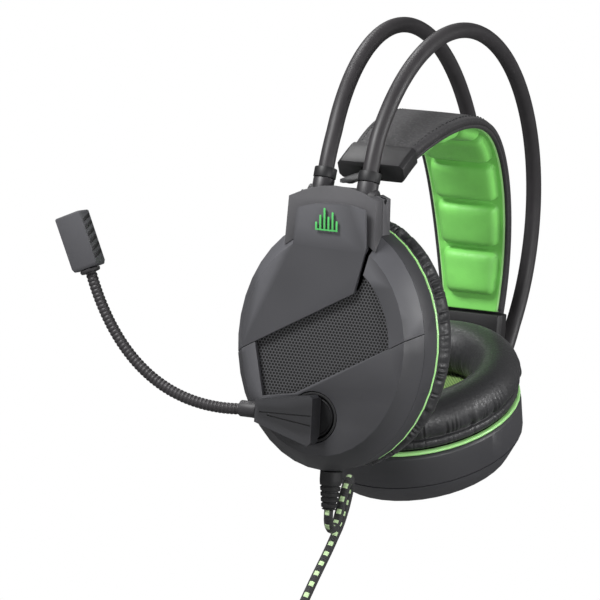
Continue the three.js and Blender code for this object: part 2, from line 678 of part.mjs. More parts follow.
const bootEnd = new THREE.Vector3(BOOT_OUT - HINGE_OUT, BOOT_REAR,
  -CUP_RADIUS - BOOT_LENGTH - 2 * GAP - HINGE_UP);
buildCable(headset, leftCup.localToWorld(bootEnd));

export default headset;
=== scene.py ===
# Gaming headset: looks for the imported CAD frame. Metres, +Z up; the wearer faces -Y, left ear on +X.
import math
import bpy
from mathutils import Matrix, Vector, noise


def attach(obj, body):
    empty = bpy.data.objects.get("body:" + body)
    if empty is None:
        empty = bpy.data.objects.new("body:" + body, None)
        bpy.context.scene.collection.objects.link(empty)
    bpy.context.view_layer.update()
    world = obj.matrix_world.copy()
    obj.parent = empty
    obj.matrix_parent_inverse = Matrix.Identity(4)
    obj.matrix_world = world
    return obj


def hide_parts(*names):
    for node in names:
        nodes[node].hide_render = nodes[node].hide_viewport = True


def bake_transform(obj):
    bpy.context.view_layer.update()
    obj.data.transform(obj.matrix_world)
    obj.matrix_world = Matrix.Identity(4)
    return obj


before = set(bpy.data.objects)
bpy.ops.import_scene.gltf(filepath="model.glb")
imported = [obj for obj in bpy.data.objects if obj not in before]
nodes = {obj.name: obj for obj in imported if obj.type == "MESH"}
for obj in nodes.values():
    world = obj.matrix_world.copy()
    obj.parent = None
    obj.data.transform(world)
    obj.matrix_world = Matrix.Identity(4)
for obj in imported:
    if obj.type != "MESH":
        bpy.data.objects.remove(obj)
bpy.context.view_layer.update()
MM = 0.001
TURN = 2 * math.pi

# ------------------------------------------------------------------ sizes, as in the CAD part
HINGE_X = 90.56
HINGE_Z = -65.4
HINGE_OUT = 12.3
HINGE_UP = 60.5
TOE_IN = {1: 28.4, -1: 42.7}
OVAL = 0.797
BOOT_OUT = 8
BOOT_REAR = 1
BOOT_TOP = 52.35
BOOT_LENGTH = 16
LEAN = math.radians(12.08)
TUBE_RADIUS = 3.3
TUBE_SPREAD_TOP = 14.4
TUBE_SPREAD_BASE = 9.8
TUBE_HALF_WIDTH = 94.6
TUBE_TOP_Z = 44.8
TUBE_CENTRE_Z = -38.7
LEG_TOP = 11.2
SURFACE_Z = -246
CABLE_RADIUS = 1.9
SIDES = {"left": 1, "right": -1}


def cup_matrix(side):
    """From a cup's own frame (outwards, rearwards, up) in mm to the row frame in metres."""
    place = Matrix.Translation((side * HINGE_X, 0, HINGE_Z))
    turn = Matrix.Rotation(math.radians(side * TOE_IN[side]), 4, "Y")
    mirror = Matrix.Diagonal((side, 1, 1, 1))
    shift = Matrix.Translation((-HINGE_OUT, 0, -HINGE_UP))
    return Matrix.Diagonal((MM, MM, MM, 1)) @ place @ turn @ mirror @ shift


def smooth_step(t):
    t = min(max(t, 0), 1)
    return t * t * (3 - 2 * t)


# ------------------------------------------------------------------ camera, floor, light
VIEW_AZIMUTH = math.radians(114.6)
VIEW_ELEVATION = math.radians(-20)
VIEW_ROLL = math.radians(15.3)
VIEW_LENS = 358.4
VIEW_DISTANCE = 2.5
VIEW_HEIGHT = -0.0862
VIEW_SHIFT_LEFT = 0.04148
VIEW_SHIFT_UP = 0.01387


def view_directions():
    """Right, up and back of a camera that looks up at the headset and is rolled a little."""
    level = Vector((math.cos(VIEW_AZIMUTH), math.sin(VIEW_AZIMUTH), 0))
    flat_back = Vector((math.sin(VIEW_AZIMUTH), -math.cos(VIEW_AZIMUTH), 0))
    back = flat_back * math.cos(VIEW_ELEVATION) + Vector((0, 0, math.sin(VIEW_ELEVATION)))
    right = level * math.cos(VIEW_ROLL) + back.cross(level) * math.sin(VIEW_ROLL)
    return right, back.cross(right), back


def make_camera():
    right, up, back = view_directions()
    data = bpy.data.cameras.new("camera")
    data.sensor_width = 36
    data.lens = VIEW_LENS
    data.clip_end = 50
    camera = bpy.data.objects.new("camera", data)
    bpy.context.scene.collection.objects.link(camera)
    aim = Vector((0, 0, VIEW_HEIGHT)) - right * VIEW_SHIFT_LEFT + up * VIEW_SHIFT_UP
    turn = Matrix((right, up, back)).transposed().to_4x4()
    camera.matrix_world = Matrix.Translation(aim + back * VIEW_DISTANCE) @ turn
    bpy.context.scene.camera = camera
    return right, up, back


def area_light(name, place, target, size, energy):
    data = bpy.data.lights.new(name, "AREA")
    data.shape = "DISK"
    data.size = size
    data.energy = energy
    light = bpy.data.objects.new(name, data)
    bpy.context.scene.collection.objects.link(light)
    light.location = place
    light.rotation_euler = (target - place).to_track_quat("-Z", "Y").to_euler()


def make_lights(right, up, back):
    middle = Vector((0, 0, -0.08))
    area_light("key", middle + back * 0.48 + up * 0.66 - right * 0.5, middle, 0.35, 11.5)
    area_light("side", middle + back * 0.15 + right * 1.5 + up * 0.35, middle, 0.6, 13)
    area_light("top", middle - back * 0.6 + up * 1.3 - right * 0.3, middle, 0.6, 8)
    area_light("inside", middle + back * 0.6 + right * 0.4 - up * 0.08, Vector((-0.03, 0, 0.02)), 0.3, 5)
    world = bpy.data.worlds.new("studio")
    world.use_nodes = True
    tree = world.node_tree
    sky = tree.nodes["Background"]
    sky.inputs["Color"].default_value = (1, 1, 1, 1)
    rays = tree.nodes.new("ShaderNodeLightPath")
    share = tree.nodes.new("ShaderNodeMapRange")
    share.inputs["To Min"].default_value = 0.1
    share.inputs["To Max"].default_value = 1.0
    tree.links.new(rays.outputs["Is Camera Ray"], share.inputs["Value"])
    tree.links.new(share.outputs[0], sky.inputs["Strength"])
    bpy.context.scene.world = world
    bpy.context.scene.view_settings.view_transform = "Standard"


def make_floor():
    """A pale floor that shows only its upper side, because the camera looks up from under it."""
    mesh = bpy.data.meshes.new("floor")
    corners = [(-3, -3), (3, -3), (3, 3), (-3, 3)]
    level = SURFACE_Z * MM - 0.0004
    mesh.from_pydata([(x, y, level) for x, y in corners], [], [(0, 1, 2, 3)])
    floor = bpy.data.objects.new("floor", mesh)
    bpy.context.scene.collection.objects.link(floor)
    material = bpy.data.materials.new("pale_floor")
    material.use_nodes = True
    tree = material.node_tree
    shader = tree.nodes["Principled BSDF"]
    shader.inputs["Base Color"].default_value = (0.3, 0.3, 0.3, 1)
    shader.inputs["Roughness"].default_value = 0.7
    clear = tree.nodes.new("ShaderNodeBsdfTransparent")
    side = tree.nodes.new("ShaderNodeNewGeometry")
    mix = tree.nodes.new("ShaderNodeMixShader")
    tree.links.new(side.outputs["Backfacing"], mix.inputs[0])
    tree.links.new(shader.outputs[0], mix.inputs[1])
    tree.links.new(clear.outputs[0], mix.inputs[2])
    tree.links.new(mix.outputs[0], tree.nodes["Material Output"].inputs["Surface"])
    mesh.materials.append(material)


# ------------------------------------------------------------------ material building blocks
class Look:
    """A procedural material: a Principled shader with bump, colour and roughness from textures."""

    def __init__(self, name, color, roughness, metallic=0.0, space="Object"):
        self.material = bpy.data.materials.new(name)
        self.material.use_nodes = True
        self.tree = self.material.node_tree
        self.shader = self.tree.nodes["Principled BSDF"]
        self.set("Base Color", (*color, 1))
        self.set("Roughness", roughness)
        self.set("Metallic", metallic)
        self.color = color
        coordinates = self.tree.nodes.new("ShaderNodeTexCoord")
        self.space = coordinates.outputs[space]
        self.height = None

    def set(self, socket, value):
        self.shader.inputs[socket].default_value = value

    def node(self, kind, **settings):
        node = self.tree.nodes.new(kind)
        for key, value in settings.items():
            setattr(node, key, value)
        return node

    def link(self, source, target):
        self.tree.links.new(source, target)

    def math(self, operation, first, second=None):
        node = self.node("ShaderNodeMath", operation=operation)
        for socket, value in zip(node.inputs, (first, second)):
            if value is None:
                continue
            if isinstance(value, (int, float)):
                socket.default_value = value
            else:
                self.link(value, socket)
        return node.outputs[0]

    def noise(self, scale, detail=3.0, roughness=0.5):
        node = self.node("ShaderNodeTexNoise")
        node.inputs["Scale"].default_value = scale
        node.inputs["Detail"].default_value = detail
        node.inputs["Roughness"].default_value = roughness
        self.link(self.space, node.inputs["Vector"])
        return node.outputs["Fac"]

    def cells(self, scale, feature="F1"):
        node = self.node("ShaderNodeTexVoronoi", feature=feature)
        node.inputs["Scale"].default_value = scale
        self.link(self.space, node.inputs["Vector"])
        return node.outputs["Distance"]

    def ramp(self, source, low, high, start=0.0, end=1.0):
        node = self.node("ShaderNodeMapRange")
        node.inputs["From Min"].default_value = start
        node.inputs["From Max"].default_value = end
        node.inputs["To Min"].default_value = low
        node.inputs["To Max"].default_value = high
        self.link(source, node.inputs["Value"])
        return node.outputs[0]

    def mix_colors(self, factor, first, second):
        node = self.node("ShaderNodeMix", data_type="RGBA")
        self.link(factor, node.inputs["Factor"])
        for socket, value in ((node.inputs["A"], first), (node.inputs["B"], second)):
            if isinstance(value, tuple):
                socket.default_value = (*value, 1)
            else:
                self.link(value, socket)
        return node.outputs["Result"]

    def paint(self, color_socket):
        self.link(color_socket, self.shader.inputs["Base Color"])

    def rough(self, socket):
        self.link(socket, self.shader.inputs["Roughness"])

    def bump(self, height, strength, distance):
        node = self.node("ShaderNodeBump")
        node.inputs["Strength"].default_value = strength
        node.inputs["Distance"].default_value = distance
        self.link(height, node.inputs["Height"])
        if self.height:
            self.link(self.height, node.inputs["Normal"])
        self.height = node.outputs["Normal"]
        self.link(self.height, self.shader.inputs["Normal"])


def shaded(color, share):
    return tuple(min(1, value * share) for value in color)


def worn_edges(look, base):
    """Edges polished a little lighter by handling."""
    geometry = look.node("ShaderNodeNewGeometry")
    edge = look.ramp(geometry.outputs["Pointiness"], 0, 0.5, 0.52, 0.6)
    return look.mix_colors(edge, base, shaded(look.color, 2.2))


def moulded_plastic(name, color, roughness=0.45, grain=2200, depth=0.00006):
    look = Look(name, color, roughness)
    cloudy = look.ramp(look.noise(22, 2), 0, 1, 0.35, 0.65)
    base = look.mix_colors(cloudy, shaded(color, 0.9), shaded(color, 1.08))
    look.paint(worn_edges(look, base))
    look.rough(look.ramp(look.noise(60, 4), roughness - 0.05, roughness + 0.08, 0.3, 0.7))
    look.bump(look.noise(grain, 2), 0.35, depth)
    look.set("Specular IOR Level", 0.45)
    return look.material


def rubber(name, color, roughness=0.6):
    look = Look(name, color, roughness)
    dusty = look.ramp(look.noise(140, 5, 0.7), 0, 1, 0.45, 0.75)
    look.paint(look.mix_colors(dusty, color, shaded(color, 1.25)))
    look.rough(look.ramp(look.noise(45, 3), roughness - 0.07, roughness + 0.07, 0.3, 0.7))
    look.bump(look.noise(1600, 3), 0.25, 0.00005)
    look.set("Specular IOR Level", 0.4)
    return look.material


def leatherette(name, color, roughness=0.5, grain=650, depth=0.00012):
    look = Look(name, color, roughness)
    wear = look.ramp(look.noise(35, 4), 0, 1, 0.35, 0.7)
    look.paint(look.mix_colors(wear, shaded(color, 0.85), shaded(color, 1.15)))
    pebbles = look.ramp(look.cells(grain), 0, 1, 0.1, 0.7)
    look.rough(look.ramp(pebbles, roughness - 0.1, roughness + 0.1))
    look.bump(look.noise(90, 4, 0.6), 0.12, 0.0004)
    look.bump(pebbles, 0.35, depth)
    look.set("Specular IOR Level", 0.5)
    look.set("Sheen Weight", 0.05)
    return look.material


def woven(name, color, second, count=900, roughness=0.85):
    """Plain weave: warp and weft waves across each other."""
    look = Look(name, color, roughness)
    split = look.node("ShaderNodeSeparateXYZ")
    look.link(look.space, split.inputs[0])
    warp = look.math("SINE", look.math("MULTIPLY", split.outputs["Y"], count * TURN))
    weft = look.math("SINE", look.math("MULTIPLY", split.outputs["Z"], count * TURN))
    weave = look.math("MULTIPLY", warp, weft)
    threads = look.ramp(weave, 0, 1, -0.8, 0.8)
    fuzzy = look.ramp(look.noise(2500, 2), 0.7, 1.1)
    tone = look.math("MULTIPLY", threads, fuzzy)
    look.paint(look.mix_colors(tone, color, second))
    look.bump(threads, 0.6, 0.0002)
    look.set("Sheen Weight", 0.25)
    return look.material


def braided(name, color, dash):
    """Braided sleeve along UV: u is metres along the cord, v is half turns away from its first side."""
    look = Look(name, color, 0.7, space="UV")
    split = look.node("ShaderNodeSeparateXYZ")
    look.link(look.space, split.inputs[0])
    along, around = split.outputs["X"], split.outputs["Y"]
    step = look.math("MULTIPLY", along, TURN / 0.0022)
    ring = look.math("MULTIPLY", around, 6 * TURN)
    one = look.math("SINE", look.math("ADD", step, ring))
    other = look.math("SINE", look.math("SUBTRACT", step, ring))
    threads = look.ramp(look.math("MULTIPLY", one, other), 0, 1, -1, 1)
    place = look.math("FRACT", look.math("MULTIPLY", along, 1 / 0.0057))
    dashed = look.math("LESS_THAN", place, 0.4)
    facing = look.math("GREATER_THAN", look.math("COSINE", look.math("MULTIPLY", around, TURN)), 0.45)
    mark = look.math("MULTIPLY", dashed, facing)
    dark = look.mix_colors(threads, shaded(color, 0.5), shaded(color, 1.6))
    light = look.mix_colors(threads, shaded(dash, 0.7), dash)
    look.paint(look.mix_colors(mark, dark, light))
    look.bump(threads, 0.6, 0.0002)
    look.set("Sheen Weight", 0.1)
    return look.material


def perforated(name, side, color, hole_shade, pitch=0.0014):
    """Sheet metal with staggered holes in the cup's own plane, painted on: their near-black colour is
    painted shade for the dark inside of each hole.
    """
    look = Look(name, color, 0.45)
    turn = look.node("ShaderNodeMapping")
    turn.inputs["Rotation"].default_value = (0, math.radians(-side * TOE_IN[side]), 0)
    look.link(look.space, turn.inputs["Vector"])
    wave = 4 * math.pi / (math.sqrt(3) * pitch)
    total = None
    for angle in (90, 210, 330):
        direction = look.node("ShaderNodeVectorMath", operation="DOT_PRODUCT")
        direction.inputs[1].default_value = (
            0, wave * math.cos(math.radians(angle)), wave * math.sin(math.radians(angle)))
        look.link(turn.outputs["Vector"], direction.inputs[0])
        ripple = look.math("COSINE", direction.outputs["Value"])
        total = ripple if total is None else look.math("ADD", total, ripple)
    holes = look.ramp(total, 0, 1, -0.75, -0.25)
    # Painted shade: the holes get a near-black colour for the shade inside them.
    look.paint(look.mix_colors(holes, color, hole_shade))
    look.rough(look.ramp(holes, 0.4, 0.9))
    look.bump(holes, -1.0, 0.0005)
    return look.material


def plastic_with_painted_glow(name, color):
    look = Look(name, color, 0.3)
    cloudy = look.ramp(look.noise(60, 2), 0, 1, 0.3, 0.7)
    look.paint(look.mix_colors(cloudy, shaded(color, 0.92), color))
    look.bump(look.noise(800, 2), 0.1, 0.00004)
    look.set("Subsurface Weight", 0.25)
    look.set("Subsurface Radius", (0.004, 0.006, 0.003))
    # Painted light: a faint emission glow on light-green plastic, which is no lamp.
    look.set("Emission Color", (*color, 1))
    look.set("Emission Strength", 0.12)
    look.set("Coat Weight", 0.3)
    return look.material


def plated_metal(name, color=(0.62, 0.62, 0.64)):
    look = Look(name, color, 0.28, metallic=1.0)
    streaks = look.node("ShaderNodeMapping")
    streaks.inputs["Scale"].default_value = (60, 4, 60)
    look.link(look.space, streaks.inputs["Vector"])
    look.space = streaks.outputs["Vector"]
    brushed = look.noise(30, 4)
    look.rough(look.ramp(brushed, 0.2, 0.42, 0.3, 0.7))
    look.paint(look.mix_colors(brushed, shaded(color, 0.85), shaded(color, 1.1)))
    look.bump(brushed, 0.1, 0.00003)
    return look.material


def circuit(name):
    look = Look(name, (0.01, 0.09, 0.035), 0.35)
    tracks = look.ramp(look.cells(420, "DISTANCE_TO_EDGE"), 0, 1, 0.02, 0.05)
    look.paint(look.mix_colors(tracks, (0.2, 0.35, 0.1), (0.01, 0.09, 0.035)))
    look.bump(tracks, 0.3, 0.0001)
    return look.material


shell_look = moulded_plastic("shell_plastic", (0.06, 0.059, 0.063), 0.42)
cover_look = moulded_plastic("cover_plastic", (0.052, 0.052, 0.057), 0.46, 2600)
housing_look = moulded_plastic("housing_plastic", (0.04, 0.04, 0.044), 0.44, 2600)
arm_look = moulded_plastic("arm_plastic", (0.02, 0.02, 0.022), 0.36, 2600)
dark_look = moulded_plastic("dark_plastic", (0.022, 0.021, 0.023), 0.5)
tube_look = rubber("tube_rubber", (0.028, 0.026, 0.028), 0.5)
cap_look = moulded_plastic("cap_plastic", (0.012, 0.0115, 0.0125), 0.5)
black_look = rubber("black_rubber", (0.012, 0.012, 0.013), 0.55)
strap_look = leatherette("black_leatherette", (0.022, 0.021, 0.023), 0.6)
cushion_look = leatherette("cushion_leatherette", (0.02, 0.02, 0.022), 0.46, 900, 0.0001)
green_look = leatherette("green_leatherette", (0.2, 0.62, 0.12), 0.5, 1100, 0.00006)
pale_look = leatherette("pale_green_leatherette", (0.36, 0.72, 0.26), 0.55, 1100, 0.00006)
ring_look = plastic_with_painted_glow("light_green_plastic", (0.42, 0.82, 0.3))
cloth_look = woven("driver_cloth", (0.05, 0.12, 0.02), (0.26, 0.42, 0.11), 700)
elastic_look = woven("black_elastic", (0.008, 0.008, 0.009), (0.03, 0.03, 0.032), 1100)
braid_look = braided("braided_cord", (0.012, 0.012, 0.013), (0.62, 0.85, 0.45))
steel_look = plated_metal("plated_steel")
pin_look = plated_metal("blackened_steel", (0.06, 0.06, 0.065))
mark_look = moulded_plastic("green_mark", (0.07, 0.4, 0.1), 0.5)
board_look = circuit("circuit_board")


# ------------------------------------------------------------------ mesh building blocks
def piece(name, vertices, faces, body, look, uvs=None):
    mesh = bpy.data.meshes.new(name)
    mesh.from_pydata([tuple(v) for v in vertices], [], faces)
    if uvs:
        layer = mesh.uv_layers.new(name="UVMap")
        for loop in mesh.loops:
            layer.data[loop.index].uv = uvs[loop.vertex_index]
    mesh.polygons.foreach_set("use_smooth", [True] * len(mesh.polygons))
    mesh.materials.append(look)
    mesh.update()
    made = bpy.data.objects.new(name, mesh)
    bpy.context.scene.collection.objects.link(made)
    if body:
        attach(made, body)
    return made


def loft(rings, closed=False, caps=True):
    """Vertices and faces of rings of equally many points; closed joins the last to the first."""
    sides = len(rings[0])
    vertices = [point for ring in rings for point in ring]
    faces = []
    for ring in range(len(rings) if closed else len(rings) - 1):
        following = (ring + 1) % len(rings)
        for side in range(sides):
            ahead = (side + 1) % sides
            faces.append((ring * sides + side, ring * sides + ahead,
                          following * sides + ahead, following * sides + side))
    if caps and not closed:
        faces.append(tuple(reversed(range(sides))))
        faces.append(tuple(range((len(rings) - 1) * sides, len(rings) * sides)))
    return vertices, faces


def tube(points, radii, sides=12, first=None):
    """A tube along points; its UVs are metres along it and half turns away from `first`."""
    points = [Vector(p) for p in points]
    radii = radii if isinstance(radii, list) else [radii] * len(points)
    ahead = [(points[min(i + 1, len(points) - 1)] - points[max(i - 1, 0)]).normalized()
             for i in range(len(points))]
    across = first or ahead[0].orthogonal().normalized()
    rings, uvs, far = [], [], 0.0
    for i, point in enumerate(points):
        across = (across - ahead[i] * across.dot(ahead[i])).normalized()
        other = ahead[i].cross(across)
        far += (point - points[i - 1]).length if i else 0
        ring = []
        for side in range(sides):
            angle = TURN * side / sides
            ring.append(point + radii[i] * (math.cos(angle) * across + math.sin(angle) * other))
            uvs.append((far, 1 - abs(side / sides * 2 - 1)))
        rings.append(ring)
    vertices, faces = loft(rings)
    return vertices, faces, uvs


def catmull(points, steps):
    """A smooth curve through points, that many steps for each stretch."""
    points = [Vector(p) for p in points]
    padded = [2 * points[0] - points[1]] + points + [2 * points[-1] - points[-2]]
    curve = []
    for i in range(1, len(padded) - 2):
        a, b, c, d = padded[i - 1:i + 3]
        for step in range(steps):
            t = step / steps
            curve.append(0.5 * (2 * b + (c - a) * t + (2 * a - 5 * b + 4 * c - d) * t * t
                                + (3 * b - a - 3 * c + d) * t ** 3))
    curve.append(points[-1])
    return curve


def bezier(controls, t):
    """A place on the cubic curve with these four control points."""
    a, b, c, d = controls
    s = 1 - t
    return a * s ** 3 + b * 3 * s * s * t + c * 3 * s * t * t + d * t ** 3


def resample(points, spacing):
    """Points equally far apart along the same line."""
    made, left = [points[0].copy()], spacing
    for start, end in zip(points, points[1:]):
        length = (end - start).length
        at = left
        while at < length:
            made.append(start.lerp(end, at / length))
            at += spacing
        left = at - length
    if (made[-1] - points[-1]).length > spacing * 0.4:
        made.append(points[-1].copy())
    else:
        made[-1] = points[-1].copy()
    return made


# ------------------------------------------------------------------ cable
CABLE_ROUTE = [
    (22.7, 0.9, -180.8), (18.6, 0.5, -182.2), (14.4, 0, -181.3), (11.4, -0.4, -178.3),
    (10.3, -0.7, -174), (10.3, -0.8, -168.4), (10.2, -0.9, -162.5), (7.9, -1.6, -156.9),
    (2.7, -3.2, -154.5), (-2.6, -4.7, -156.9), (-4.9, -5.4, -162.5), (-4.7, -5.4, -168),
    (-3.4, -5.2, -173.6), (-1, -5, -179.5), (2, -4.8, -187), (5, -4.8, -194.4), (8, -4.8, -201.8),
    (10.4, -5, -209.4), (12.2, -5.6, -217.4), (12.8, -6.6, -225.4), (11.8, -7.4, -232.6),
    (8.6, -7, -239), (3.5, -5, -242.8), (-2, -2, -243.9), (-7, 2.4, -244.05),
]
TAIL_ROUTE = [
    (42.4, 30.5, SURFACE_Z + 2), (42.5, 25, SURFACE_Z + 2.1), (42.5, 20, SURFACE_Z + 2.7),
    (42.4, 15, SURFACE_Z + 3.8), (42.4, 11, SURFACE_Z + 4.35), (42.4, 8, SURFACE_Z + 4.4),
]
COIL_CENTRE = (10.5, 28.9)
COIL_PITCH = 3.92
COIL_INNER = 16.1
COIL_LAYERS = 4
COIL_STEPS = 40


def coil_stages():
    """Radius and height along the coil, each with the turns it takes to get there."""
    outer = COIL_INNER + 3 * COIL_PITCH
    low = SURFACE_Z + CABLE_RADIUS + 0.1
    stages = [(0.25, outer, low)]
    for layer in range(COIL_LAYERS):
        height = low + layer * COIL_PITCH
        radius = COIL_INNER if layer % 2 == 0 else outer
        stages.append((3.0, radius, height))
        if layer < COIL_LAYERS - 1:
            stages.append((0.5, radius, height + COIL_PITCH))
    top = low + (COIL_LAYERS - 1) * COIL_PITCH
    stages.append((0.44, outer, top))
    stages.append((0.16, 31.9, top - 1))
    stages.append((0.3, 31.9, SURFACE_Z + 2))
    return stages


def coil_points():
    """Clockwise turns from where the hanging cable arrives to where its tail leaves."""
    start = Vector(CABLE_ROUTE[-1][:2]) - Vector(COIL_CENTRE)
    angle = math.atan2(start.y, start.x)
    radius, height = start.length, CABLE_ROUTE[-1][2]
    finish = Vector(TAIL_ROUTE[0][:2]) - Vector(COIL_CENTRE)
    stages = coil_stages()
    turns = sum(stage[0] for stage in stages)
    wanted = (angle - math.atan2(finish.y, finish.x)) / TURN
    stretch = (wanted + round(turns - wanted)) / turns
    points = []
    for share, next_radius, next_height in stages:
        steps = max(4, round(share * COIL_STEPS))
        climbing = next_radius == radius and next_height != height
        bulge = 0.7 if radius > 22 else -0.7
        for step in range(1, steps + 1):
            t = step / steps
            angle -= TURN * share * stretch / steps
            reach = radius + (next_radius - radius) * t
            if climbing:
                reach += bulge * math.sin(math.pi * t)
            level = height + (next_height - height) * smooth_step(t)
            points.append((COIL_CENTRE[0] + reach * math.cos(angle),
                           COIL_CENTRE[1] + reach * math.sin(angle), level))
        radius, height = next_radius, next_height
    return points


def make_cable():
    exit_mm = cup_matrix(1) @ Vector((BOOT_OUT, BOOT_REAR, -BOOT_TOP - BOOT_LENGTH - 0.05))
    hanging = [exit_mm] + [Vector(p) * MM for p in CABLE_ROUTE]
    stored = [Vector(p) * MM for p in coil_points()]
    tail = [Vector(p) * MM for p in TAIL_ROUTE]
    line = catmull(hanging, 8)[:-1] + catmull([hanging[-1]] + stored[:-1] + tail, 4)
    line = resample(line, 0.0022)
    vertices, faces, uvs = tube(line, CABLE_RADIUS * MM, 12, Vector((1, 0, 0)))
    cable = piece("braided_cable", vertices, faces, "left_cup", braid_look, uvs)
    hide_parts("cable", "cable_coil", "cable_tail")


# ------------------------------------------------------------------ CAD nodes that stay
def finish_node(name, look, bevel=0.35):
    """Joins the node's facets into smooth surfaces with small rounded edges."""
    node = nodes[name]
    mesh = node.data
    mesh.polygons.foreach_set("use_smooth", [True] * len(mesh.polygons))
    if "custom_normal" in mesh.attributes:
        mesh.attributes.remove(mesh.attributes["custom_normal"])
    weld = node.modifiers.new("weld", "WELD")
    weld.merge_threshold = 0.000004
    flat = node.modifiers.new("flat", "DECIMATE")
    flat.decimate_type = "DISSOLVE"
    flat.angle_limit = math.radians(0.6)
    if bevel:
        edges = node.modifiers.new("edges", "BEVEL")
        edges.limit_method = "ANGLE"
        edges.angle_limit = math.radians(35)
        edges.width = bevel * MM
        edges.segments = 2
        edges.use_clamp_overlap = True
    split = node.modifiers.new("split", "EDGE_SPLIT")
    split.split_angle = math.radians(33)
    mesh.materials.clear()
    mesh.materials.append(look)


def finish_nodes():
    for name, side in SIDES.items():
        # The second colour is painted shade for the inside of the grille's holes.
        mesh_look = perforated(f"{name}_grille_mesh", side, (0.06, 0.06, 0.064), (0.0015, 0.0015, 0.0015))
        looks = {
            "bracket_outer": shell_look, "bracket_inner": shell_look, "hinge_pin": pin_look,
            "cup_housing": housing_look, "upper_cover": cover_look, "lower_cover": housing_look,
            "grille": mesh_look, "emblem": mark_look, "light_ring": ring_look,
            "baffle": dark_look, "driver": dark_look, "driver_cloth": cloth_look,
            "circuit_board": board_look, "yoke": dark_look, "front_collar": black_look,
            "rear_collar": black_look, "end_cap": cap_look,
        }
        small = {"emblem": 0.12, "grille": 0, "circuit_board": 0.1, "light_ring": 0.2,
                 "driver_cloth": 0, "hinge_pin": 0.2, "upper_cover": 0.25, "lower_cover": 0.25}
        for word, look in looks.items():
            finish_node(f"{name}_{word}", look, small.get(word, 0.35))
    finish_node("mic_socket", black_look, 0.15)
    finish_node("mic_hub", black_look, 0.15)
    finish_node("mic_arm", arm_look, 0)
    finish_node("mic_ferrule", dark_look)
    finish_node("mic_throat", dark_look)
    finish_node("mic_capsule", cover_look, 0.35)
    finish_node("cable_tie", black_look, 0.3)
    finish_node("plug_relief", black_look)
    finish_node("plug_body", dark_look, 0.8)
    finish_node("plug_shell", steel_look, 0.1)


# ------------------------------------------------------------------ arch tubes
def make_tubes():
    """Two round tubes along the CAD arch: an ellipse over the head, then straight legs."""
    rise = TUBE_TOP_Z - TUBE_CENTRE_Z
    foot = math.asin((TUBE_CENTRE_Z - HINGE_Z - LEG_TOP) / rise)
    leg = LEG_TOP / math.cos(LEAN) - 3
    for word, row in (("front", -1), ("rear", 1)):
        line = []
        for i in range(401):
            turn = -foot - leg / rise + (math.pi + 2 * foot + 2 * leg / rise) * i / 400
            angle = min(max(turn, -foot), math.pi + foot)
            past = abs(turn - angle) * rise
            height = math.sin(angle)
            spread = TUBE_SPREAD_BASE + (TUBE_SPREAD_TOP - TUBE_SPREAD_BASE) * max(0, height)
            reach = TUBE_HALF_WIDTH * math.cos(angle)
            reach -= math.copysign(past * math.sin(LEAN), math.cos(angle))
            line.append(Vector((reach, row * spread, TUBE_CENTRE_Z + rise * height
                                - past * math.cos(LEAN))) * MM)
        vertices, faces, _ = tube(line, TUBE_RADIUS * MM, 32)
        made = piece(f"{word}_round_tube", vertices, faces, "arch", tube_look)
        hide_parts(f"{word}_tube")


# ------------------------------------------------------------------ headband
ARCH = [Vector(p) for p in ((0, 12), (31.6, 12), (66.7, -28), (77.2, -50.7))]
BAND_SHIFT = -7.4
BAND_HALF_WIDTH = 19
BAND_END_HALF_WIDTH = 13.8
STRAP_HALF_LENGTH = 87
STRAP_THICKNESS = 3.4
BASE_DEPTH = 5.35
LUMP_PITCH = 22.7
LUMPS = 7
LUMP_RISE = 5.2
CAP_LENGTH = 15.2


arch_line = [bezier(ARCH, i / 600) for i in range(601)]
arch_reach = [0.0]
for one, two in zip(arch_line, arch_line[1:]):
    arch_reach.append(arch_reach[-1] + (two - one).length)


def arch_at(distance):
    """Place and direction on the arch at a distance from the crown, straight on past its end."""
    distance = abs(distance)
    last = len(arch_line) - 1
    i = min(int(distance / arch_reach[-1] * last), last - 1)
    while i < last - 1 and arch_reach[i + 1] < distance:
        i += 1
    while i > 0 and arch_reach[i] > distance:
        i -= 1
    along = (arch_line[i + 1] - arch_line[i]).normalized()
    return arch_line[i] + along * (distance - arch_reach[i]), along


def band_point(station, rear, depth):
    distance = station + BAND_SHIFT
    side = -1 if distance < 0 else 1
    point, along = arch_at(distance)
    return Vector((side * (point.x + depth * along.y), rear, point.y - depth * along.x)) * MM


def band_half(station):
    share = (abs(station) / STRAP_HALF_LENGTH) ** 2
    return BAND_HALF_WIDTH + (BAND_END_HALF_WIDTH - BAND_HALF_WIDTH) * share


def make_strap():
    """Outer leatherette strap: crowned a little, with rolled edges and a stitch line each side."""
    rings = []
    for step in range(-116, 117):
        station = step * 0.75
        half = band_half(station)
        ring = []
        for across in range(-14, 15):
            rear = across / 14
            edge = smooth_step((abs(rear) - 0.82) / 0.18)
            stitch = math.exp(-((abs(rear) * half - half + 2.6) / 0.45) ** 2)
            crown = -0.25 * (1 - rear * rear)
            ring.append(band_point(station, rear * half, crown + 1.3 * edge ** 2 + 0.3 * stitch))
        for across in range(14, -15, -7):
            ring.append(band_point(station, across / 14 * (half - 0.4), STRAP_THICKNESS))
        rings.append(ring)
    vertices, faces = loft(rings)
    strap = piece("strap_leatherette", vertices, faces, "headband", strap_look)
    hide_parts("headband_strap")


def make_stitches():
    """Short raised threads in the strap's two stitch lines."""
    vertices, faces = [], []
    for side in (-1, 1):
        for i in range(54):
            middle = (i - 26.5) * 3.1
            rear = side * (band_half(middle) - 2.6)
            ends = [band_point(middle + reach, rear, depth)
                    for reach, depth in ((-1.1, 0.42), (-0.6, 0.1), (0, 0.02), (0.6, 0.1), (1.1, 0.42))]
            made, quads, _ = tube(ends, 0.26 * MM, 6)
            faces += [tuple(index + len(vertices) for index in quad) for quad in quads]
            vertices += made
    piece("strap_stitches", vertices, faces, "headband", black_look)


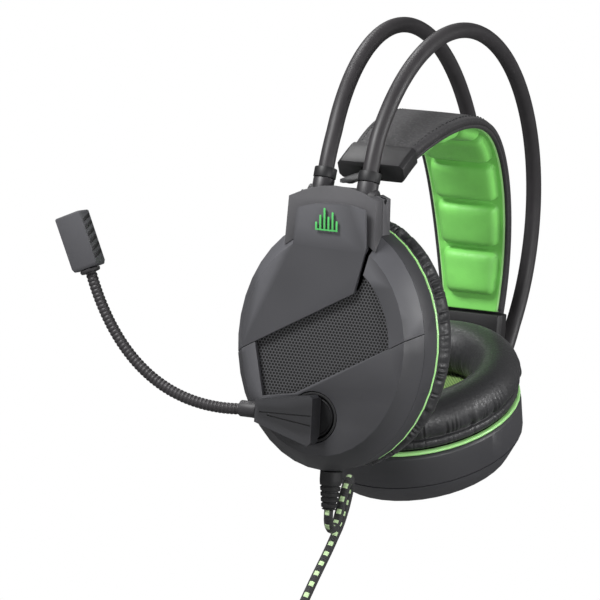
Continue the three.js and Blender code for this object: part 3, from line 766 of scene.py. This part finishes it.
def lump_height(station, across, half):
    """Share of the full height: seven rounded pillows on a flat base, narrower than the base."""
    best = 0
    for lump in range(LUMPS):
        middle = (lump - (LUMPS - 1) / 2) * LUMP_PITCH
        reach = (abs(station - middle) / 10.2, abs(across) / (half - 1.9))
        if max(reach) < 1:
            inside = 1 - (reach[0] ** 7 + reach[1] ** 10)
            best = max(best, max(inside, 0) ** 0.5 * (1 - 0.1 * reach[0] ** 2 - 0.1 * reach[1] ** 2))
    return best


def make_pad():
    rings = []
    for step in range(-172, 173):
        station = step * 0.5
        half = band_half(station) - 2.3
        ring = []
        for column in range(-26, 27):
            across = math.sin(column / 26 * math.pi / 2) * half
            rise = LUMP_RISE * lump_height(station, across, half)
            crease = noise.noise(Vector((station * 0.16, across * 0.16, 9.1)))
            rise += 0.16 * crease * min(1, rise)
            ring.append(band_point(station, across, BASE_DEPTH + 0.15 + max(rise, 0)))
        ring.append(band_point(station, half, BASE_DEPTH - 0.6))
        ring.append(band_point(station, -half, BASE_DEPTH - 0.6))
        rings.append(ring)
    vertices, faces = loft(rings)
    pad = piece("pad_lining", vertices, faces, "headband", green_look)
    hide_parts("head_pad")
    make_pad_base()


def make_pad_base():
    rings = []
    for step in range(-86, 87):
        half = band_half(step) - 1.5
        outline = [(-half, 4.1), (-half + 0.5, 3.8), (half - 0.5, 3.8), (half, 4.1), (half, 5.0),
                   (half - 0.5, 5.3), (-half + 0.5, 5.3), (-half, 5.0)]
        rings.append([band_point(step, rear, depth) for rear, depth in outline])
    vertices, faces = loft(rings)
    piece("pad_base", vertices, faces, "headband", pale_look)
    for side, word in ((-1, "front"), (1, "rear")):
        line = [band_point(step * 1.5, side * (band_half(step * 1.5) - 0.9), 4.3) for step in range(-57, 58)]
        vertices, faces, _ = tube(line, 0.95 * MM, 10)
        piece(f"{word}_piping", vertices, faces, "headband", strap_look)


def make_elastics():
    """Flat elastic from inside each end cap to the yoke: the real one stretches as the arch slides, this
    strip is fixed and tied to no body.
    """
    for name, side in SIDES.items():
        stop = STRAP_HALF_LENGTH + 0.35 + CAP_LENGTH
        start = band_point(side * (stop - 9), 0, 2.9)
        mouth = band_point(side * stop, 0, 2.9)
        anchor = Vector((side * (HINGE_X + 6.4 * math.sin(LEAN)), 0, HINGE_Z + 6.4 * math.cos(LEAN))) * MM
        line = resample(catmull([start, mouth, mouth.lerp(anchor, 0.5), anchor], 10), 0.0008)
        rings = []
        for i, point in enumerate(line):
            ahead = (line[min(i + 1, len(line) - 1)] - line[max(i - 1, 0)]).normalized()
            across = Vector((ahead.z, 0, -ahead.x)) * 0.0007
            ring = []
            for rear, sign in ((-2.8, -1), (-1.4, -1.25), (0, -1), (1.4, -1.25), (2.8, -1),
                               (2.8, 1), (1.4, 1.25), (0, 1), (-1.4, 1.25), (-2.8, 1)):
                spot = point + across * sign
                ring.append(Vector((spot.x, rear * MM, spot.z)))
            rings.append(ring)
        vertices, faces = loft(rings)
        strip = piece(f"{name}_elastic", vertices, faces, None, elastic_look)
        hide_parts(f"{name}_elastic_strap")
        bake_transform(strip)


# ------------------------------------------------------------------ ear cushions
CUSHION_PROFILE = [
    (31, -1.4), (40, -1.4), (50.3, -1.4), (50.9, -2.2), (50.8, -4.4), (50.2, -5.1), (48.5, -5.6),
    (50.1, -6.2), (51.5, -7.2), (52.3, -9), (52.4, -11), (51.7, -13.6), (50.1, -16.2), (47.4, -18.6),
    (44.2, -20.1), (40.6, -20.7), (36.8, -20.5), (33.2, -19.3), (30.2, -17), (28.2, -13.8),
    (27.2, -10.4), (27.2, -7.4), (28.2, -4.6), (29.6, -2.6),
]
CUSHION_TURNS = 780
PLEATS = 88
PUFF_FRAMES = 14
PUFF_LIMIT = 0.0014


def around(angle, size, seed):
    """Noise that runs round the cushion and closes on itself."""
    return noise.noise(Vector((math.cos(angle) * size, math.sin(angle) * size, seed)))


def pleat_depth(angle, out):
    """Uneven folds gathered at the seam, with round crests and sharp valleys."""
    slant = 0.3 * around(angle, 4, 11.2) * (out + 6)
    drift = 5 * around(angle, 6, 3.3) + 1.6 * around(angle, 16, 8.1)
    fold = abs(math.sin(angle * PLEATS / 2 + drift + slant)) ** 0.7
    strength = max(0.15, 0.75 + 1.7 * around(angle, 12, 7.7))
    return strength * (fold - 0.65)


def cushion_ring(angle):
    """One cross-section of the cushion in the cup's frame, with its gathers."""
    ring = []
    slow = around(angle, 9, 5.1)
    reach = 4.6 + 3.2 * around(angle, 17, 1.7)
    for radius, out in CUSHION_PROFILE:
        outer = math.exp(-((out + 6.5) / reach) ** 2) if radius > 46 and out < -6 else 0
        skirt = 0.45 if radius > 50 and out > -5 else 0
        inner = math.exp(-((out + 6) / 5) ** 2) if radius < 32 and out < -3 else 0
        shift = pleat_depth(angle, out) * (1.7 * outer + 0.9 * skirt + 0.5 * inner)
        radius += shift + 0.8 * slow * (outer + inner)
        ring.append(Vector((out, radius * math.sin(angle) * OVAL, radius * math.cos(angle))))
    return ring


def puffed(made, held):
    """Inflates a closed skin with a short cloth run, its held points fixed, and keeps the result."""
    group = made.vertex_groups.new(name="held")
    group.add(held, 1.0, "REPLACE")
    before = [vertex.co.copy() for vertex in made.data.vertices]
    cloth = made.modifiers.new("cloth", "CLOTH")
    settings = cloth.settings
    settings.quality = 4
    settings.mass = 0.2
    settings.tension_stiffness = 12
    settings.compression_stiffness = 6
    settings.bending_stiffness = 0.05
    settings.use_pressure = True
    settings.uniform_pressure_force = 3.0
    settings.effector_weights.gravity = 0
    settings.vertex_group_mass = "held"
    scene = bpy.context.scene
    cloth.point_cache.frame_start = 1
    cloth.point_cache.frame_end = PUFF_FRAMES
    for number in range(1, PUFF_FRAMES + 1):
        scene.frame_set(number)
    evaluated = made.evaluated_get(bpy.context.evaluated_depsgraph_get())
    after = [vertex.co.copy() for vertex in evaluated.data.vertices]
    made.modifiers.remove(cloth)
    made.vertex_groups.clear()
    scene.frame_set(1)
    for vertex, start, end in zip(made.data.vertices, before, after):
        move = end - start
        if move.length > PUFF_LIMIT:
            move = move.normalized() * PUFF_LIMIT
        vertex.co = start + move


def cushion_mesh():
    """The left cushion's skin in the cup's frame, in metres, puffed once and used for both ears."""
    rings = [cushion_ring(TURN * i / CUSHION_TURNS) for i in range(CUSHION_TURNS)]
    vertices, faces = loft([[point * MM for point in ring] for ring in rings], closed=True)
    mesh = bpy.data.meshes.new("cushion_skin")
    mesh.from_pydata([tuple(v) for v in vertices], [], faces)
    made = bpy.data.objects.new("cushion_skin", mesh)
    bpy.context.scene.collection.objects.link(made)
    held = [i for i, vertex in enumerate(mesh.vertices) if vertex.co.x > -0.0058]
    puffed(made, held)
    vertices = [vertex.co.copy() / MM for vertex in mesh.vertices]
    bpy.data.objects.remove(made)
    return vertices, faces


def make_cushions():
    skin, faces = cushion_mesh()
    for name, side in SIDES.items():
        matrix = cup_matrix(side)
        turned = faces if side > 0 else [tuple(reversed(face)) for face in faces]
        cushion = piece(f"{name}_cushion", [matrix @ v for v in skin], turned, f"{name}_cup",
                        cushion_look)
        detail = cushion.modifiers.new("detail", "SUBSURF")
        detail.levels = 1
        detail.render_levels = 1
        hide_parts(f"{name}_ear_cushion")
        make_inner_seam(name, matrix)


def make_inner_seam(name, matrix):
    """The thread round the cushion's inner edge."""
    line = []
    for i in range(241):
        angle = TURN * i / 240
        line.append(matrix @ Vector((-2.9, 29.9 * math.sin(angle) * OVAL, 29.9 * math.cos(angle))))
    vertices, faces, _ = tube(line, 0.5 * MM, 8)
    piece(f"{name}_inner_seam", vertices, faces, f"{name}_cup", black_look)


# ------------------------------------------------------------------ microphone boom and boot
BOOM = [Vector(p) for p in ((-33, -29), (-66, -32), (-90, -14.5), (-103.5, 19.5))]
BOOM_PLANE = 28
CAPSULE_LEAN = math.radians(24.6)
RIB_PITCH = 1.7
CAPSULE_SLOTS = 6
SLOT_PITCH = 3.1


def make_gooseneck():
    """Ribbed flexible neck: a rounded rib for every turn of its hose."""
    matrix = cup_matrix(1)
    into_ferrule = BOOM[0] + Vector((0.8, 0))
    into_throat = BOOM[-1] + Vector((-math.sin(CAPSULE_LEAN), math.cos(CAPSULE_LEAN)))
    bend = [into_ferrule] + [bezier(BOOM, i / 80) for i in range(81)] + [into_throat]
    line = resample([matrix @ Vector((BOOM_PLANE, y, z)) for y, z in bend], RIB_PITCH * MM / 8)
    radii = [(2.02 + 0.36 * abs(math.sin(math.pi * i / 8)) ** 0.7) * MM for i in range(len(line))]
    vertices, faces, _ = tube(line, radii, 20)
    neck = piece("ribbed_gooseneck", vertices, faces, "mic_boom", tube_look)
    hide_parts("mic_gooseneck")


def make_capsule_slot_shade():
    """Slanted black slabs down both narrow sides of the capsule, a little proud of it: painted shade for the
    dark inside of its slots.
    """
    matrix = cup_matrix(1)
    tip = Vector((BOOM_PLANE, *BOOM[-1]))
    ahead = Vector((0, -math.sin(CAPSULE_LEAN), math.cos(CAPSULE_LEAN)))
    across = Vector((0, ahead.z, -ahead.y))
    out = Vector((1, 0, 0))
    vertices, faces = [], []
    for side in (-1, 1):
        for i in range(CAPSULE_SLOTS):
            middle = tip + ahead * (7 + i * SLOT_PITCH) + across * side * 5.8
            slot = []
            for end in (-1, 1):
                ring = []
                for lift, reach in ((-0.75, -0.3), (0.75, -0.3), (0.75, 0.22), (-0.75, 0.22)):
                    point = middle + out * end * 3.7 + ahead * (lift - end * 1.1) + across * side * reach
                    ring.append(matrix @ point)
                slot.append(ring)
            made, quads = loft(slot)
            faces += [tuple(index + len(vertices) for index in quad) for quad in quads]
            vertices += made
    piece("capsule_slot_shade", vertices, faces, "mic_boom", black_look)


def make_boot():
    """Strain relief with ribs that get smaller towards the cable."""
    matrix = cup_matrix(1)
    rings = []
    stations = 96
    for i in range(stations + 1):
        down = BOOT_LENGTH * i / stations
        radius = 4.6 + (3.1 - 4.6) * max(0, down - 4) / (BOOT_LENGTH - 4)
        if down > 4.4:
            groove = math.fmod(down - 4.4, 2.3) / 2.3
            radius -= 0.55 * smooth_step((groove - 0.62) / 0.1) * (1 - smooth_step((groove - 0.9) / 0.1))
        if i in (0, stations):
            radius -= 0.3
        ring = []
        for side in range(28):
            angle = TURN * side / 28
            ring.append(matrix @ Vector((BOOT_OUT + radius * math.cos(angle),
                                         BOOT_REAR + radius * math.sin(angle), -BOOT_TOP - 0.2 - down)))
        rings.append(ring)
    vertices, faces = loft(rings)
    made = piece("ribbed_boot", vertices, faces, "left_cup", black_look)
    split = made.modifiers.new("split", "EDGE_SPLIT")
    split.split_angle = math.radians(50)
    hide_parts("cable_boot")


# ------------------------------------------------------------------ everything
view_axes = make_camera()
make_cable()
make_floor()
make_lights(*view_axes)
finish_nodes()
make_tubes()
make_strap()
make_stitches()
make_pad()
make_elastics()
make_cushions()
make_gooseneck()
make_capsule_slot_shade()
make_boot()
